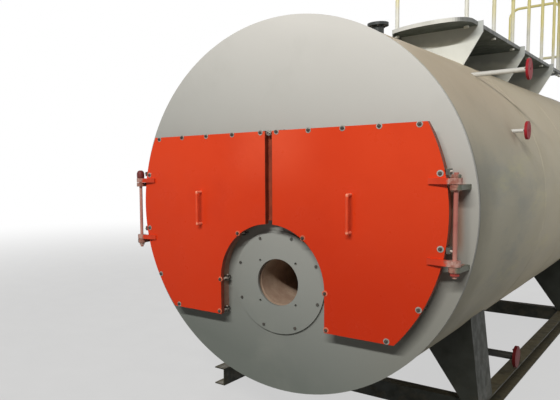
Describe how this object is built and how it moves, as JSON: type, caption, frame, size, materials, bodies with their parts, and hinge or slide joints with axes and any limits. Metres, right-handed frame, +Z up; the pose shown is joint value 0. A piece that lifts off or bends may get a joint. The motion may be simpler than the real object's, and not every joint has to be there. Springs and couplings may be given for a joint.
{
  "type": "industrial fire-tube boiler",
  "caption": "Horizontal fire-tube boiler with a round front plate, hinged smokebox doors, a burner opening, a walkway deck with railings and a floor frame.",
  "frame": {"origin": "on the floor under the middle of the shell, at the middle of the middle tie bar's underside", "axes": "+Z up, +X to the right seen from the front, -Y out of the front plate towards the operator, the shell's axis along Y"},
  "size_m": [2.2, 5.5063, 3.4023],
  "materials": {
    "plate_grey": "satin",
    "smokebox_grey": "satin",
    "door_orange": "satin",
    "hinge_grey": "satin",
    "pin_red": "satin",
    "jacket_sheet": "satin",
    "boiler_steel": "rough",
    "refractory": "rough",
    "dark_fitting": "satin",
    "deck_grey": "satin",
    "support_white": "satin",
    "rail_yellow": "satin",
    "pipe_white": "satin",
    "flange_red": "satin",
    "frame_dark": "satin"
  },
  "bodies": {
    "boiler": {"front_plate": "plate_grey", "burner_plate": "plate_grey", "rear_plate": "plate_grey", "rear_cover": "plate_grey", "smokebox_frame": "smokebox_grey", "bracket_left_upper": "hinge_grey", "bracket_left_lower": "hinge_grey", "bracket_right_upper": "hinge_grey", "bracket_right_lower": "hinge_grey", "pin_left": "pin_red", "pin_right": "pin_red", "shell_jacket": "jacket_sheet", "tube_plate": "boiler_steel", "furnace_tube": "boiler_steel", "burner_throat": "refractory", "flue_outlet": "dark_fitting", "top_nozzle": "dark_fitting", "drain_pipe": "dark_fitting", "deck": "deck_grey", "support_front": "support_white", "support_middle": "support_white", "support_rear": "support_white", "railing_right": "rail_yellow", "railing_front": "rail_yellow", "railing_rear": "rail_yellow", "side_pipe_upper": "pipe_white", "side_pipe_lower": "pipe_white", "side_flange_upper": "flange_red", "side_flange_lower": "flange_red", "drain_flange": "flange_red", "leg_front_left": "frame_dark", "leg_front_right": "frame_dark", "leg_rear_left": "frame_dark", "leg_rear_right": "frame_dark", "beam_left": "frame_dark", "beam_right": "frame_dark", "cross_front": "frame_dark", "cross_middle": "frame_dark", "cross_rear": "frame_dark"},
    "door_left": {"door_left": "door_orange", "lining_left": "refractory", "handle_left": "door_orange", "arm_left_upper": "door_orange", "arm_left_lower": "door_orange"},
    "door_right": {"door_right": "door_orange", "lining_right": "refractory", "handle_right": "door_orange", "arm_right_upper": "door_orange", "arm_right_lower": "door_orange"}
  },
  "joints": [
    {"name": "door_left_hinge", "type": "hinge", "parent": "boiler", "child": "door_left", "pos_m": [-1.031, -2.716, 1.408], "axis": [0, 0, -1], "range_deg": [0, 110]},
    {"name": "door_right_hinge", "type": "hinge", "parent": "boiler", "child": "door_right", "pos_m": [1.031, -2.716, 1.408], "axis": [0, 0, 1], "range_deg": [0, 110]}
  ]
}
